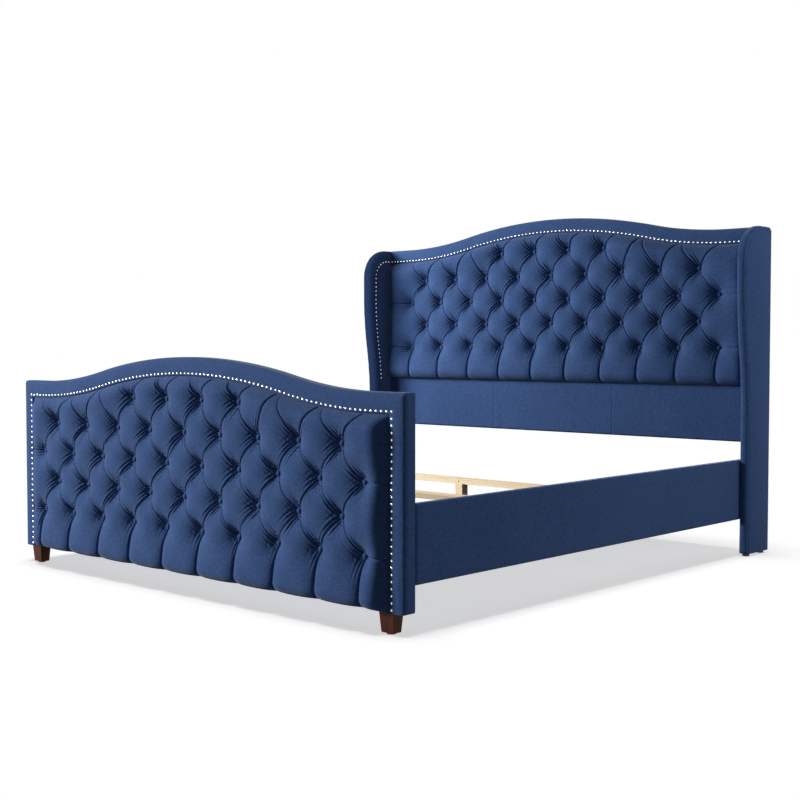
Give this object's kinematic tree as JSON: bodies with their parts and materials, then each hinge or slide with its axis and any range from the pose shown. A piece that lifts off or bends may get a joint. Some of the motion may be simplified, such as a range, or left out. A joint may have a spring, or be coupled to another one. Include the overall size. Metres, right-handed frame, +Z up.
{
  "type": "wingback bed",
  "caption": "King-size wingback bed: arched, button-tufted headboard and footboard with nailhead trim, padded wings, upholstered side rails and slats on levelling legs.",
  "frame": {"origin": "on the floor, under the middle of the bed's outer box", "axes": "+X to the right of someone at the foot who looks at the headboard, +Y from the footboard to the headboard, +Z up"},
  "size_m": [2.102, 2.1997, 1.427],
  "materials": {
    "tufted_linen": "linen-look weave, deep tufts",
    "button_linen": "linen-look weave over a button shell",
    "band_linen": "linen-look weave, smooth",
    "plain_linen": "linen-look weave, flat",
    "wing_linen": "linen-look weave, padded",
    "rail_linen": "linen-look weave, flat",
    "plywood": "raw",
    "pine": "planed, unfinished",
    "stained_wood": "dark stained, satin lacquer",
    "nickel": "polished",
    "zinc_steel": "zinc plated",
    "nylon": "moulded"
  },
  "bodies": {
    "bed_frame": {"footboard_tufted_pad": "tufted_linen", "headboard_tufted_pad": "tufted_linen", "footboard_buttons": "button_linen", "headboard_buttons": "button_linen", "footboard_cover": "band_linen", "headboard_cover": "band_linen", "headboard_lower_panel": "plain_linen", "footboard_back_panel": "plain_linen", "headboard_back_panel": "plain_linen", "footboard_deck": "plywood", "headboard_deck": "plywood", "footboard_arch_rail": "pine", "headboard_arch_rail": "pine", "headboard_middle_rail": "pine", "headboard_bottom_rail": "pine", "footboard_bottom_rail": "pine", "footboard_stile_left": "pine", "footboard_stile_right": "pine", "headboard_stile_left": "pine", "headboard_stile_right": "pine", "footboard_nails": "nickel", "headboard_nails": "nickel", "wing_nails_left": "nickel", "wing_nails_right": "nickel", "wing_inner_pad_left": "wing_linen", "wing_inner_pad_right": "wing_linen", "wing_core_left": "plywood", "wing_core_right": "plywood", "wing_outer_panel_left": "plain_linen", "wing_outer_panel_right": "plain_linen", "wing_piping_left": "wing_linen", "wing_piping_right": "wing_linen", "wing_glides": "nylon", "leg_glides": "nylon", "wing_bolts": "zinc_steel", "leg_studs": "zinc_steel", "footboard_leg_left": "stained_wood", "footboard_leg_right": "stained_wood", "side_rail_board_left": "plywood", "side_rail_board_right": "plywood", "side_rail_cover_left": "rail_linen", "side_rail_cover_right": "rail_linen", "slat_ledger_left": "pine", "slat_ledger_right": "pine", "ledger_screws": "zinc_steel", "rail_brackets": "zinc_steel", "bracket_bolts": "zinc_steel", "slat_screws": "zinc_steel", "leveller_nuts": "zinc_steel", "slat_1": "pine", "slat_leg_1": "pine", "slat_2": "pine", "slat_leg_2": "pine", "slat_3": "pine", "slat_leg_3": "pine"},
    "leveller_1_body": {"leveller_1": "nylon"},
    "leveller_2_body": {"leveller_2": "nylon"},
    "leveller_3_body": {"leveller_3": "nylon"}
  },
  "joints": [
    {"name": "leveller_1_height", "type": "slide", "parent": "bed_frame", "child": "leveller_1_body", "axis": [0, 0, 1], "range_m": [-0.01, 0.008]},
    {"name": "leveller_2_height", "type": "slide", "parent": "bed_frame", "child": "leveller_2_body", "axis": [0, 0, 1], "range_m": [-0.01, 0.008]},
    {"name": "leveller_3_height", "type": "slide", "parent": "bed_frame", "child": "leveller_3_body", "axis": [0, 0, 1], "range_m": [-0.01, 0.008]}
  ]
}
